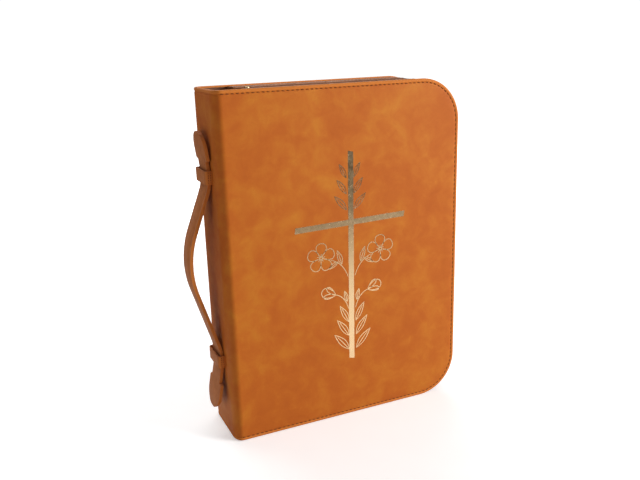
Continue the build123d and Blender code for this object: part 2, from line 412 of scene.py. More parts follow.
def makeWeaveGroup():
    group, inside, outside = newGroup(
        "clothWeave",
        [("Vector", "NodeSocketVector", None), ("Threads", "NodeSocketFloat", 2200.0)],
        [("Thread", "NodeSocketFloat"), ("Height", "NodeSocketFloat")],
    )
    split = put(group, "ShaderNodeSeparateXYZ", {"Vector": inside.outputs["Vector"]})
    waves = []
    for sockets in (("X", "Y"), ("Z", "Y")):
        across = calculate(group, "ADD", split.outputs[sockets[0]],
                           calculate(group, "MULTIPLY", split.outputs[sockets[1]], 0.7))
        angle = calculate(group, "MULTIPLY", across, inside.outputs["Threads"])
        waves.append(calculate(group, "SINE", angle))
    woven = calculate(group, "MULTIPLY", waves[0], waves[1])
    thread = calculate(group, "MULTIPLY_ADD", woven, 0.5, 0.5)
    group.links.new(thread, outside.inputs["Thread"])
    group.links.new(thread, outside.inputs["Height"])
    return group


groups = {"hide": makeHideGroup(), "weave": makeWeaveGroup()}


def makeLeather(name, colours, rim=None, edge=None, roughness=0.62, grain=0.16, cloud=24.0, sheen=0.02):
    material, tree, shader = newTree(name)
    place = put(tree, "ShaderNodeTexCoord")
    hide = put(tree, "ShaderNodeGroup", {}, node_tree=groups["hide"])
    tree.links.new(place.outputs["Object"], hide.inputs["Vector"])
    hide.inputs["Cloud Scale"].default_value = cloud
    hide.inputs["Grain Scale"].default_value = 1500.0
    colour = ramp(tree, hide.outputs["Cloud"], list(zip((0.34, 0.46, 0.55, 0.68), colours)))
    speck = calculate(tree, "MULTIPLY_ADD", hide.outputs["Fleck"], 0.12, 0.94)
    colour = mixColour(tree, 1.0, colour, speck, "MULTIPLY")
    # the rolled edge band is painted lighter: partly its own tone, partly a painted highlight
    if rim:
        mask = put(tree, "ShaderNodeAttribute", attribute_name="rim")
        colour = mixColour(tree, mask.outputs["Fac"], colour, rim)
    # faces turned along Y, the strap's sides, are painted lighter: partly their own edge tone, partly a
    # painted highlight
    if edge:
        facing = put(tree, "ShaderNodeSeparateXYZ", {"Vector": place.outputs["Normal"]})
        side = calculate(tree, "ABSOLUTE", facing.outputs["Y"])
        edgeToneAndHighlightMask = calculate(tree, "MULTIPLY_ADD", side, 4.0, -2.4, clamp=True)
        colour = mixColour(tree, edgeToneAndHighlightMask, colour, edge)
    tree.links.new(colour, shader.inputs["Base Color"])
    gloss = calculate(tree, "MULTIPLY_ADD", hide.outputs["Cloud"], -0.22, roughness + 0.11)
    tree.links.new(gloss, shader.inputs["Roughness"])
    bump = put(tree, "ShaderNodeBump", {"Height": hide.outputs["Height"], "Strength": grain,
                                         "Distance": 0.1 * mm})
    tree.links.new(bump.outputs["Normal"], shader.inputs["Normal"])
    shader.inputs["Specular IOR Level"].default_value = 0.15
    shader.inputs["Sheen Weight"].default_value = sheen
    shader.inputs["Sheen Roughness"].default_value = 0.38
    return material


def makeCloth(name, dark, light, threads=2200.0, roughness=0.85, bumpHeight=0.08, sheen=0.12):
    material, tree, shader = newTree(name)
    place = put(tree, "ShaderNodeTexCoord")
    weave = put(tree, "ShaderNodeGroup", {}, node_tree=groups["weave"])
    tree.links.new(place.outputs["Object"], weave.inputs["Vector"])
    weave.inputs["Threads"].default_value = threads
    fade = put(tree, "ShaderNodeTexNoise", {"Vector": place.outputs["Object"], "Scale": 60.0, "Detail": 4.0})
    amount = calculate(tree, "MULTIPLY_ADD", fade.outputs["Fac"], 0.5,
                       calculate(tree, "MULTIPLY", weave.outputs["Thread"], 0.5))
    tree.links.new(mixColour(tree, amount, dark, light), shader.inputs["Base Color"])
    rough = calculate(tree, "MULTIPLY_ADD", fade.outputs["Fac"], 0.16, roughness - 0.08)
    tree.links.new(rough, shader.inputs["Roughness"])
    bump = put(tree, "ShaderNodeBump", {"Height": weave.outputs["Height"], "Strength": 0.5,
                                         "Distance": bumpHeight * mm})
    tree.links.new(bump.outputs["Normal"], shader.inputs["Normal"])
    shader.inputs["Sheen Weight"].default_value = sheen
    return material


def makeMetal(name, dark, light, roughness, scratch=260.0, dent=0.12):
    material, tree, shader = newTree(name)
    place = put(tree, "ShaderNodeTexCoord")
    tarnish = put(tree, "ShaderNodeTexNoise", {"Vector": place.outputs["Object"], "Scale": scratch,
                                                "Detail": 5.0, "Roughness": 0.65})
    tree.links.new(mixColour(tree, tarnish.outputs["Fac"], dark, light), shader.inputs["Base Color"])
    rough = calculate(tree, "MULTIPLY_ADD", tarnish.outputs["Fac"], 0.22, roughness - 0.11)
    tree.links.new(rough, shader.inputs["Roughness"])
    shader.inputs["Metallic"].default_value = 1.0
    bump = put(tree, "ShaderNodeBump", {"Height": tarnish.outputs["Fac"], "Strength": dent,
                                         "Distance": 0.05 * mm})
    tree.links.new(bump.outputs["Normal"], shader.inputs["Normal"])
    return material


def makePaper(name, dark, light):
    # leaf edges are fine lines that run along each face, one for each few sheets
    material, tree, shader = newTree(name)
    place = put(tree, "ShaderNodeTexCoord")
    stretch = put(tree, "ShaderNodeMapping", {
        "Vector": place.outputs["Object"], "Scale": (6.0, 5200.0, 6.0)})
    sheets = put(tree, "ShaderNodeTexNoise", {"Vector": stretch.outputs["Vector"], "Scale": 1.0,
                                               "Detail": 3.0, "Roughness": 0.8})
    lines = ramp(tree, sheets.outputs["Fac"], [(0.36, dark), (0.5, light), (0.62, light)])
    facing = put(tree, "ShaderNodeSeparateXYZ", {"Vector": place.outputs["Normal"]})
    page = calculate(tree, "GREATER_THAN", calculate(tree, "ABSOLUTE", facing.outputs["Y"]), 0.9)
    lines = mixColour(tree, page, lines, light)
    age = put(tree, "ShaderNodeTexNoise", {"Vector": place.outputs["Object"], "Scale": 30.0, "Detail": 6.0})
    shade = calculate(tree, "MULTIPLY_ADD", age.outputs["Fac"], 0.08, 0.93)
    tree.links.new(mixColour(tree, 1.0, lines, shade, "MULTIPLY"), shader.inputs["Base Color"])
    rough = calculate(tree, "MULTIPLY_ADD", sheets.outputs["Fac"], 0.2, 0.6)
    tree.links.new(rough, shader.inputs["Roughness"])
    bump = put(tree, "ShaderNodeBump", {
        "Height": sheets.outputs["Fac"], "Strength": 0.3, "Distance": 0.06 * mm})
    tree.links.new(bump.outputs["Normal"], shader.inputs["Normal"])
    return material


def makeThread(name, dark, light):
    material, tree, shader = newTree(name)
    place = put(tree, "ShaderNodeTexCoord")
    twist = put(tree, "ShaderNodeTexWave", {"Vector": place.outputs["Object"], "Scale": 900.0,
                                             "Distortion": 2.0, "Detail": 2.0}, bands_direction="DIAGONAL")
    tree.links.new(mixColour(tree, twist.outputs["Fac"], dark, light), shader.inputs["Base Color"])
    rough = calculate(tree, "MULTIPLY_ADD", twist.outputs["Fac"], 0.2, 0.7)
    tree.links.new(rough, shader.inputs["Roughness"])
    shader.inputs["Specular IOR Level"].default_value = 0.2
    bump = put(tree, "ShaderNodeBump", {
        "Height": twist.outputs["Fac"], "Strength": 0.4, "Distance": 0.05 * mm})
    tree.links.new(bump.outputs["Normal"], shader.inputs["Normal"])
    return material


finishes = {
    "coverColours": [
        (0.42, 0.098, 0.012), (0.455, 0.114, 0.013), (0.485, 0.136, 0.015), (0.52, 0.172, 0.018)],
    # the rolled edge's colour: partly the edge's own lighter tone, partly a painted highlight where the
    # rounded edge catches the light
    "rimToneAndHighlight": (0.56, 0.172, 0.028),
    "strapColours": [
        (0.36, 0.120, 0.040), (0.40, 0.135, 0.044), (0.44, 0.150, 0.048), (0.48, 0.170, 0.054)],
    # the strap's side edges: partly their own lighter edge tone, partly a painted highlight
    "strapEdgeToneAndHighlight": (0.56, 0.180, 0.040),
    "panelColours": [
        (0.21, 0.076, 0.030), (0.25, 0.094, 0.038), (0.29, 0.112, 0.046), (0.33, 0.134, 0.056)],
    "bibleColours": [
        (0.012, 0.006, 0.005), (0.018, 0.009, 0.007), (0.024, 0.012, 0.009), (0.032, 0.016, 0.012)],
}
coverLeather = makeLeather("tanCoverLeather", finishes["coverColours"], rim=finishes["rimToneAndHighlight"])
spineLeather = makeLeather("tanSpineLeather", finishes["coverColours"], rim=finishes["rimToneAndHighlight"])
strapLeather = makeLeather("strapLeather", finishes["strapColours"], edge=finishes["strapEdgeToneAndHighlight"], cloud=60.0)
panelLeather = makeLeather("zipPanelLeather", finishes["panelColours"], roughness=0.62, cloud=50.0)
bibleLeather = makeLeather(
    "bibleCoverLeather", finishes["bibleColours"], roughness=0.5, grain=0.4, cloud=40.0)
liningCloth = makeCloth("brownLining", (0.070, 0.027, 0.012), (0.150, 0.064, 0.031), threads=5200.0)
sleeveCloth = makeCloth("sleeveLining", (0.100, 0.040, 0.018), (0.195, 0.083, 0.040), threads=5200.0)
tapeCloth = makeCloth("zipTape", (0.15, 0.052, 0.018), (0.27, 0.100, 0.036), threads=7000.0, sheen=0.04)
ribbonCloth = makeCloth(
    "markerRibbon", (0.16, 0.006, 0.010), (0.30, 0.014, 0.020), threads=9000.0, roughness=0.5, sheen=0.03)
bandCloth = makeCloth("headbandSilk", (0.30, 0.16, 0.05), (0.62, 0.48, 0.24), threads=4200.0)
boardPaper = makePaper("brownBoard", (0.13, 0.045, 0.017), (0.20, 0.072, 0.028))
leafPaper = makePaper("leafPaper", (0.52, 0.45, 0.33), (0.80, 0.75, 0.64))
stitchThread = makeThread("stitchThread", (0.15, 0.038, 0.008), (0.25, 0.068, 0.014))
coilThread = makeThread("zipCoil", (0.11, 0.038, 0.015), (0.20, 0.074, 0.028))
brass = makeMetal("lightBrass", (0.52, 0.36, 0.17), (0.78, 0.60, 0.34), 0.32)
goldFoil = makeMetal("goldFoil", (0.82, 0.57, 0.31), (0.91, 0.67, 0.40), 0.24, scratch=420.0, dent=0.04)
print("materials made")


# leather of the covers and the spine

skin = {
    "profile": [
        (1.35, 3.15), (0.80, 3.20), (0.40, 3.02), (0.12, 2.60), (0.0, 2.0), (0.0, 1.35), (0.10, 0.78),
        (0.40, 0.28), (0.90, 0.03), (1.55, 0.0), (2.10, 0.08), (2.50, 0.34), (2.78, 0.42), (3.06, 0.34),
        (3.50, 0.10), (4.20, 0.02), (8.0, 0.0),
    ],
    "thickness": 1.0 * mm,
    "rimWidth": 2.6 * mm,
    "rimFade": 0.5 * mm,
}


def markRim(obj):
    # marks the rolled edge band, which the leather paints lighter, partly as a painted highlight
    mask = obj.data.attributes.new("rim", "FLOAT", "POINT")
    values = []
    for vert in obj.data.vertices:
        inset = edgeInset(vert.co.x, vert.co.z)
        values.append(min(1.0, max(0.0, (skin["rimWidth"] - inset) / skin["rimFade"])))
    mask.data.foreach_set("value", values)


def makeCoverSkin(side):
    outY = case["frontY"] if side == "front" else case["backY"]
    inward = 1 if side == "front" else -1
    startX = case["spineX"] + case["foldRadius"]
    points = [
        (startX, outY + inward * depth * mm, case["top"] - inset * mm) for inset, depth in skin["profile"]]
    obj = startProfile(side + "CoverSkin", points, closed=False)
    runRoundEdge(startX)
    innerInset = skin["profile"][-1][0] * mm - 0.01 * mm
    chooseVerts(obj, lambda co: edgeInset(co.x, co.z) > innerInset)
    bpy.ops.mesh.edge_face_add()
    chooseVerts(obj, lambda co: co.x < startX + 0.001 * mm)
    bpy.ops.mesh.spin(
        steps=case["foldSteps"], angle=inward * math.pi / 2, axis=(0, 0, 1),
        center=(startX, outY + inward * case["foldRadius"], 0),
    )

    def stretchFold(co):
        # the fold turns more slowly on its way onto the spine
        share = max(0, (startX - co.x) / case["foldRadius"])
        return Vector((co.x, outY + (co.y - outY) * (1 + case["foldStretch"] * share), co.z))

    moveVerts(obj, stretchFold)
    endEdit()
    turnOutward(obj, ((startX + case["edgeX"]) / 2, outY, case["top"] / 2), (0, -inward, 0))
    useModifier(obj, "SOLIDIFY", thickness=skin["thickness"], offset=-1)
    smoothShade(obj, 50)
    markRim(obj)
    finishPiece(obj, None, coverLeather, [side + "_cover_leather"])
    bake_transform(obj)
    return obj


def makeSpineSkin():
    foldY = case["frontY"] + case["foldRadius"] * (1 + case["foldStretch"])
    rim = [(case["spineX"] + depth * mm, inset * mm) for inset, depth in skin["profile"]]
    points = [(x, foldY, case["top"] - inset) for x, inset in rim]
    points += [(x, foldY, inset) for x, inset in reversed(rim)]
    obj = startProfile("spineSkin", points, closed=False)
    width = -2 * foldY
    for _ in range(4):
        extrudeBy(y=width / 4)
    endEdit()
    turnOutward(obj, (case["spineX"], 0, case["top"] / 2), (-1, 0, 0))
    useModifier(obj, "SOLIDIFY", thickness=skin["thickness"], offset=-1)
    smoothShade(obj, 50)
    markRim(obj)
    finishPiece(obj, "spine", spineLeather, ["spine_leather"])


for side in ("front", "back"):
    makeCoverSkin(side)
makeSpineSkin()
print("cover and spine leather made")


# stitches along the covers' edges

stitch = {
    "pitch": 3.6 * mm,
    "length": 2.1 * mm,
    "radius": 0.42 * mm,
    "inset": 2.78 * mm,
    "depth": 0.32 * mm,
    "start": 4.5 * mm,  # from the spine's face
    "lean": 7,
}


def stitchTemplate(length, radius):
    bpy.ops.object.select_all(action="DESELECT")
    bpy.ops.mesh.primitive_uv_sphere_add(segments=8, ring_count=6, radius=radius)
    obj = bpy.context.active_object
    startEdit(obj)
    reach = length / 2 - radius

    def stretch(co):
        along = co.z + math.copysign(reach, co.z) if abs(co.z) > 1e-6 else co.z
        return Vector((along, co.y, co.x))

    moveVerts(obj, stretch)
    bpy.ops.mesh.select_all(action="SELECT")
    bpy.ops.mesh.normals_make_consistent(inside=False)
    endEdit()
    bpy.ops.object.shade_smooth()
    return obj


def makeCoverStitches(side):
    outY = case["frontY"] if side == "front" else case["backY"]
    inward = 1 if side == "front" else -1
    startX = case["spineX"] + stitch["start"]
    places = []
    for x, z, angle in edgePath(startX, stitch["inset"], stitch["pitch"]):
        turned = Matrix.Rotation(-angle + math.radians(stitch["lean"]), 4, "Y")
        places.append(Matrix.Translation((x, outY + inward * stitch["depth"], z)) @ turned)
    obj = copyTo(stitchTemplate(stitch["length"], stitch["radius"]), side + "CoverStitches", places)
    finishPiece(obj, side + "_cover", stitchThread)


for side in ("front", "back"):
    makeCoverStitches(side)
print("cover stitches made")


# the strip that holds the zip, and the zip

panel = {
    "outside": [(24.3, 1.0), (20.0, 0.80), (14.0, 0.72), (9.8, 0.80), (8.6, 1.0), (8.1, 1.35)],
    "inside": [(8.1, 1.85), (8.7, 2.15), (9.8, 2.2), (23.65, 2.2), (23.65, 8.0), (24.3, 8.0)],
    "start": 26 * mm,
    "seamStart": 1.5 * mm,
    "seamInset": 0.92 * mm,
    "seamPitch": 3.2 * mm,
    "seamLine": 10.6 * mm,  # from the middle plane
    "seamLength": 2.2 * mm,
    "seamRadius": 0.27 * mm,
}


def makeZipPanel(side):
    outward = -1 if side == "front" else 1
    startX = case["spineX"] + panel["start"]
    outline = panel["outside"] + panel["inside"]
    points = [(startX, outward * y * mm, case["top"] - inset * mm) for y, inset in outline]
    obj = startProfile(side + "ZipPanel", points, closed=True)
    runRoundEdge(startX)
    bpy.ops.mesh.select_all(action="SELECT")
    bpy.ops.mesh.fill_holes(sides=0)
    endEdit()
    turnOutward(obj, ((startX + case["edgeX"]) / 2, outward * 14 * mm, case["top"]), (0, 0, 1))
    smoothShade(obj, 40)
    finishPiece(obj, side + "_cover", panelLeather, [side + "_gusset"])
    places = []
    for x, z, angle in edgePath(startX + panel["seamStart"], panel["seamInset"], panel["seamPitch"]):
        turned = Matrix.Rotation(-angle, 4, "Y")
        places.append(Matrix.Translation((x, outward * panel["seamLine"], z)) @ turned)
    template = stitchTemplate(panel["seamLength"], panel["seamRadius"])
    row = copyTo(template, side + "PanelStitches", places)
    finishPiece(row, side + "_cover", stitchThread)


coil = {
    "pitch": 1.5 * mm,
    "width": 0.66 * mm,
    "reach": 0.35 * mm,
    "root": 2.8 * mm,
    "inset": 1.6 * mm,
    "height": 1.15 * mm,
    "rounding": 0.2 * mm,
}


def makeCoil(side):
    outward = -1 if side == "front" else 1
    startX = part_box(side + "_zip_teeth")[0].x
    bpy.ops.object.select_all(action="DESELECT")
    bpy.ops.mesh.primitive_cube_add(size=1)
    tooth = bpy.context.active_object
    startEdit(tooth)
    length = coil["root"] + coil["reach"]
    middle = outward * (coil["root"] - coil["reach"]) / 2
    moveVerts(tooth, lambda co: Vector((
        co.x * coil["width"], co.y * length + middle, co.z * coil["height"])))
    endEdit()
    useModifier(tooth, "BEVEL", width=coil["rounding"], segments=1, limit_method="ANGLE")
    bpy.ops.object.shade_smooth()
    shift = 0 if side == "front" else coil["pitch"] / 2
    places = []
    for x, z, angle in edgePath(startX + shift, coil["inset"], coil["pitch"]):
        turned = Matrix.Rotation(-angle, 4, "Y")
        places.append(Matrix.Translation((x, 0, z)) @ turned)
    obj = copyTo(tooth, side + "ZipCoil", places)
    finishPiece(obj, side + "_cover", coilThread, [side + "_zip_teeth"])


for side in ("front", "back"):
    makeZipPanel(side)
    makeCoil(side)
    refinish(side + "_zip_tape", tapeCloth)
print("zip made")

fittings = {"rounding": 0.16 * mm, "stopRounding": 0.3 * mm}

for nodeName in ("upper_slider", "lower_slider"):
    softenedCopy(nodeName, nodeName.replace("_s", "S"), fittings["rounding"], brass)
for nodeName in ("upper_pull", "lower_pull"):
    softenedCopy(nodeName, nodeName.replace("_p", "P"), fittings["rounding"], brass)
softenedCopy("zip_end_stops", "zipEndStops", fittings["stopRounding"], brass)


# strap and keepers

strap = {
    "rounding": 0.55 * mm,
    "creaseInset": 1.9 * mm,
    "creaseWidth": 0.22 * mm,
    "creaseDepth": 0.16 * mm,
}


def creaseOuterFace(obj):
    # a groove along each edge of the grip, from one keeper to the other
    ends = [sum(corner.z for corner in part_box(keeper)) / 2 for keeper in ("lower_keeper", "upper_keeper")]
    startEdit(obj, "FACE")
    for z in ends:
        bpy.ops.mesh.select_all(action="SELECT")
        bpy.ops.mesh.bisect(plane_co=(0, 0, z), plane_no=(0, 0, 1))
    bpy.ops.mesh.select_all(action="DESELECT")
    mesh = bmesh.from_edit_mesh(obj.data)
    for face in mesh.faces:
        face.select = face.normal.x < -0.5 and ends[0] < face.calc_center_median().z < ends[1]
    bmesh.update_edit_mesh(obj.data)
    bpy.ops.mesh.inset(thickness=strap["creaseInset"], depth=0)
    bpy.ops.mesh.inset(thickness=strap["creaseWidth"], depth=-strap["creaseDepth"])
    bpy.ops.mesh.inset(thickness=strap["creaseWidth"], depth=strap["creaseDepth"])
    endEdit()


softenedCopy(
    "handle_strap", "handleStrap", strap["rounding"], strapLeather,
    segments=3, shape=creaseOuterFace,
)

keeperLoop = {"bend": 0.95 * mm, "edge": 0.3 * mm, "near": 0.1 * mm}


def roundLoop(obj):
    # the loop bends over the strap, so its two outer corners are round
    outX = min(vert.co.x for vert in obj.data.vertices)
    reach = max(abs(vert.co.y) for vert in obj.data.vertices)
    startEdit(obj, "EDGE")
    bpy.ops.mesh.select_all(action="DESELECT")
    mesh = bmesh.from_edit_mesh(obj.data)
    for edge in mesh.edges:
        edge.select = all(
            vert.co.x < outX + keeperLoop["near"] and abs(vert.co.y) > reach - keeperLoop["near"]
            for vert in edge.verts
        ) and abs(edge.verts[0].co.y - edge.verts[1].co.y) < keeperLoop["near"]
    bmesh.update_edit_mesh(obj.data)
    bpy.ops.mesh.bevel(offset=keeperLoop["bend"], segments=4, affect="EDGES")
    endEdit()


for nodeName in ("upper_keeper", "lower_keeper"):
    softenedCopy(
        nodeName, nodeName.replace("_k", "K"), keeperLoop["edge"], strapLeather,
        segments=2, shape=roundLoop,
    )

keeperStitch = {
    "length": 1.25 * mm,
    "radius": 0.2 * mm,
    "gap": 1.75 * mm,
    "rows": (1.3 * mm, 2.9 * mm),  # out from the spine's face
}


def makeKeeperStitches(nodeName):
    # two short rows where each end of the loop is sewn down
    low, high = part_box(nodeName)
    middle = (low.z + high.z) / 2
    places = []
    for x in [high.x - row for row in keeperStitch["rows"]]:
        for step in (-2, -1, 0, 1, 2):
            for y in (low.y, high.y):
                turned = Matrix.Rotation(math.radians(90), 4, "Y")
                places.append(Matrix.Translation((x, y, middle + step * keeperStitch["gap"])) @ turned)
    name = nodeName.replace("_k", "K") + "Stitches"
    obj = copyTo(stitchTemplate(keeperStitch["length"], keeperStitch["radius"]), name, places)
    finishPiece(obj, "spine", stitchThread)


for nodeName in ("upper_keeper", "lower_keeper"):
    makeKeeperStitches(nodeName)
print("strap made")


# inside of the case, and the Bible

for side in ("front", "back"):
    refinish(side + "_cover_board", boardPaper)
    refinish(side + "_lining", liningCloth)
    refinish(side + "_endpaper", leafPaper)
    softenedCopy(side + "_sleeve", side + "Sleeve", 0.2 * mm, sleeveCloth)
    softenedCopy(
        side + "_bible_board", side + "BibleBoard", 0.5 * mm, bibleLeather, segments=3)
refinish("spine_board", boardPaper)
refinish("spine_lining", liningCloth)
refinish("upper_headband", bandCloth)
refinish("lower_headband", bandCloth)
softenedCopy("bible_spine", "bibleSpine", 0.4 * mm, bibleLeather, segments=3)
softenedCopy("front_card_pocket", "frontCardPocket", 0.15 * mm, sleeveCloth)
softenedCopy("pen_loop", "penLoop", 0.25 * mm, strapLeather)


pages = {
    "nearRoot": 0.05 * mm,
    "rootReach": 0.25 * mm,
    "leafSetBack": 0.3 * mm,
    "rounding": 0.12 * mm,
}


def shiftFrom(co, near, amount):
    return co + Vector((amount, 0, 0)) if near else co


def makeLeaves(side):
    # the sewn edge stands back, which leaves room for the flattened roots when the book is open
    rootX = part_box(side + "_leaves")[0].x

    def setBackRoot(obj):
        startEdit(obj)
        edge = rootX + pages["nearRoot"]
        moveVerts(obj, lambda co: shiftFrom(co, co.x < edge, pages["leafSetBack"]))
        endEdit()

    softenedCopy(
        side + "_leaves", side + "Leaves", pages["rounding"], leafPaper,
        segments=1, shape=setBackRoot,
    )


def makeLeafRoots(side):
    # the sewn backs of the leaves, which fold flat as the book opens
    nodeName = side + "_leaf_roots"
    obj = mergedCopy(nodeName, side + "LeafRoots")
    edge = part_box(nodeName)[1].x - pages["nearRoot"]
    startEdit(obj)
    moveVerts(obj, lambda co: shiftFrom(co, co.x > edge, pages["rootReach"]))
    endEdit()
    smoothShade(obj)
    finishPiece(obj, "spine", leafPaper, [nodeName])
    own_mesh(obj)


for side in ("front", "back"):
    makeLeaves(side)
    makeLeafRoots(side)

marker = {"width": 10 * mm, "thickness": 0.22 * mm, "notch": 4 * mm, "rows": 58}


def makeRibbon():
    low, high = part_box("ribbon_marker")
    length = high.z - low.z
    bpy.ops.object.select_all(action="DESELECT")
    bpy.ops.mesh.primitive_grid_add(x_subdivisions=4, y_subdivisions=marker["rows"], size=1)
    obj = bpy.context.active_object
    obj.name = "ribbonMarker"
    middle = (low.x + high.x) / 2
    startEdit(obj)

    def lay(co):
        notch = marker["notch"] * (1 - 2 * abs(co.x)) if co.y < -0.499 else 0
        return Vector((middle + co.x * marker["width"], 0, low.z + (co.y + 0.5) * length + notch))

    moveVerts(obj, lay)
    endEdit()
    useModifier(obj, "SOLIDIFY", thickness=marker["thickness"], offset=0)
    finishPiece(obj, "back_leaf_block", ribbonCloth, ["ribbon_marker"])


makeRibbon()

seam = {"pitch": 3.4 * mm, "length": 2.3 * mm, "radius": 0.22 * mm}


def sewAlong(name, body, y, corners):
    # stitches in straight rows from corner to corner, on a face that looks along Y
    places = []
    for (startX, startZ), (endX, endZ) in zip(corners, corners[1:]):
        reach = math.hypot(endX - startX, endZ - startZ)
        count = max(1, round(reach / seam["pitch"]))
        angle = math.atan2(endZ - startZ, endX - startX)
        for index in range(count):
            part = (index + 0.5) / count
            x = startX + (endX - startX) * part
            z = startZ + (endZ - startZ) * part
            places.append(Matrix.Translation((x, y, z)) @ Matrix.Rotation(-angle, 4, "Y"))
    obj = copyTo(stitchTemplate(seam["length"], seam["radius"]), name, places)
    finishPiece(obj, body, stitchThread)


def makeSleeveStitches(side):
    low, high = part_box(side + "_sleeve")
    y = high.y if side == "front" else low.y
    inset = 0.8 * mm
    corners = [(low.x, high.z - inset), (high.x - inset, high.z - inset), (high.x - inset, low.z + inset),
               (low.x, low.z + inset)]
    sewAlong(side + "SleeveStitches", side + "_cover", y, corners)


for side in ("front", "back"):
    makeSleeveStitches(side)

pocketLow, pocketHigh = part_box("front_card_pocket")
pocketInset = 1.5 * mm
sewAlong("cardPocketStitches", "front_cover", pocketHigh.y, [
    (pocketLow.x + pocketInset, pocketHigh.z),
    (pocketLow.x + pocketInset, pocketLow.z + pocketInset),
    (pocketHigh.x - pocketInset, pocketLow.z + pocketInset),
    (pocketHigh.x - pocketInset, pocketHigh.z),
])
print("inside made")


# gold foil cross with sprigs on the front cover

foil = {
    "upright": 0.05 * mm,
    "beam": 0.035 * mm,
    "sprig": 0.06 * mm,
    "line": 0.36 * mm,
    "barWidth": 4.4 * mm,
    "rough": 0.12 * mm,
    "join": 0.001,  # ends nearer than this make a closed line
}


def foilBar(name, start, end, width, seed):
    dice = random.Random(seed)
    bpy.ops.object.select_all(action="DESELECT")
    bpy.ops.mesh.primitive_grid_add(x_subdivisions=70, y_subdivisions=1, size=1)
    obj = bpy.context.active_object
    obj.name = name
    first, last = Vector((start[0], 0, start[1])), Vector((end[0], 0, end[1]))
    along = last - first
    across = Vector((-along.z, 0, along.x)).normalized()
    startEdit(obj)

    def place(co):
        wobble = dice.uniform(-1, 1) * foil["rough"]
        side = math.copysign(width / 2 + wobble, co.y)
        slant = co.y * 0.9 * mm if abs(co.x) > 0.49 else 0
        return first + along * (co.x + 0.5) + along.normalized() * slant + across * side

    moveVerts(obj, place)
    endEdit()
    return obj


cross = {
    "top": (99.9, 211.4), "foot": (98.1, 48.2), "left": (54.0, 157.2), "middle": (99.3, 158.2),
    "right": (145.1, 159.3),
}


def onCover(point):
    return (case["spineX"] + point[0] * mm, point[1] * mm)


def layFoil(obj, proud):
    # sets a bar on the cover with the foil's thickness
    startEdit(obj, "FACE")
    moveVerts(obj, lambda co: Vector((co.x, case["frontY"] - proud, co.z)))
    endEdit()
    turnOutward(obj, (0, case["frontY"], case["top"] / 2), (0, -1, 0))
    useModifier(obj, "SOLIDIFY", thickness=proud + 0.02 * mm, offset=-1)
    finishPiece(obj, "front_cover", goldFoil)


upright = foilBar("crossUpright", onCover(cross["top"]), onCover(cross["foot"]), foil["barWidth"], 3)
layFoil(upright, foil["upright"])
for name, start, end, seed in (("Left", "left", "middle", 5), ("Right", "middle", "right", 7)):
    beam = foilBar("crossBeam" + name, onCover(cross[start]), onCover(cross[end]), foil["barWidth"], seed)
    layFoil(beam, foil["beam"])


def turned(points, centre, angle):
    c, s = math.cos(angle), math.sin(angle)
    return [(centre[0] + x * c - y * s, centre[1] + x * s + y * c) for x, y in points]


def ring(centre, radius, steps=12):
    turns = [2 * math.pi * index / steps for index in range(steps + 1)]
    return [(centre[0] + radius * math.cos(angle), centre[1] + radius * math.sin(angle)) for angle in turns]


def petalLine(length, width, steps=16):
    line = []
    for index in range(steps + 1):
        angle = 2 * math.pi * index / steps
        out = 0.5 - 0.5 * math.cos(angle)
        line.append((length * out, width * math.sin(angle) * (0.45 + 0.55 * out)))
    return line


def blossom(centre, size, turn):
    lines = [ring(centre, 0.09 * size)]
    for index in range(5):
        angle = turn + index * 2 * math.pi / 5
        start = (centre[0] + 0.10 * size * math.cos(angle), centre[1] + 0.10 * size * math.sin(angle))
        lines.append(turned(petalLine(0.92 * size, 0.50 * size), start, angle))
        lines.append(turned([(0.1 * size, 0), (0.2 * size, 0.02 * size), (0.30 * size, 0)], centre, angle))
    return lines


def leaf(base, size, turn, width=0.2):
    steps = 10
    side = [(size * k / steps, width * size * math.sin(math.pi * k / steps) * (1.25 - 0.5 * k / steps))
            for k in range(steps + 1)]
    other = [(x, -0.75 * y) for x, y in reversed(side)]
    vein = [(0, 0), (0.4 * size, 0.015 * size), (0.82 * size, 0.02 * size)]
    return [turned(side + other[1:], base, turn), turned(vein, base, turn)]


def bud(base, size, turn):
    lines = [turned(petalLine(size, 0.42 * size), base, turn)]
    for lean in (-0.42, 0.42):
        lines.append(turned(petalLine(0.80 * size, 0.20 * size), base, turn + lean))
    return lines


def stem(start, bend, end, steps=10):
    line = []
    for index in range(steps + 1):
        t = index / steps
        weights = ((1 - t) ** 2, 2 * t * (1 - t), t * t)
        line.append(tuple(
            weights[0] * a + weights[1] * b + weights[2] * c for a, b, c in zip(start, bend, end)))
    return [line]


spray = {"centre": 99.0, "clear": 3.0, "lean": 0.85, "leafWidth": 0.15}


def leafRow(startZ, count, gap, size, shrink):
    # leaves one above the other up the side of the upright, each smaller and steeper than the last
    lines = []
    for index in range(count):
        base = (spray["centre"] + spray["clear"], startZ + index * gap)
        lines += leaf(base, size - index * shrink, spray["lean"] + 0.12 * index, spray["leafWidth"])
    return lines


def halfSpray():
    x = spray["centre"] + spray["clear"]
    lines = leafRow(56, 3, 11.5, 19, 1.5) + leafRow(168, 3, 12, 15, 1.5)
    lines += stem((x, 90), (x + 3, 101), (x + 11, 103)) + bud((x + 11, 103), 12, 0.35)
    lines += leaf((x + 1.2, 96), 9, 1.35, 0.18)
    lines += stem((x, 116), (x + 4, 128), (x + 14, 131)) + blossom((x + 22, 134), 11, 0.35)
    lines += leaf((x + 5, 126.5), 12, 1.25, 0.17) + leaf((x + 8, 129), 9, -0.55, 0.18)
    return lines


def mirrored(lines):
    return [[(2 * spray["centre"] - x, z) for x, z in line] for line in lines]


sprigs = halfSpray() + mirrored(halfSpray())


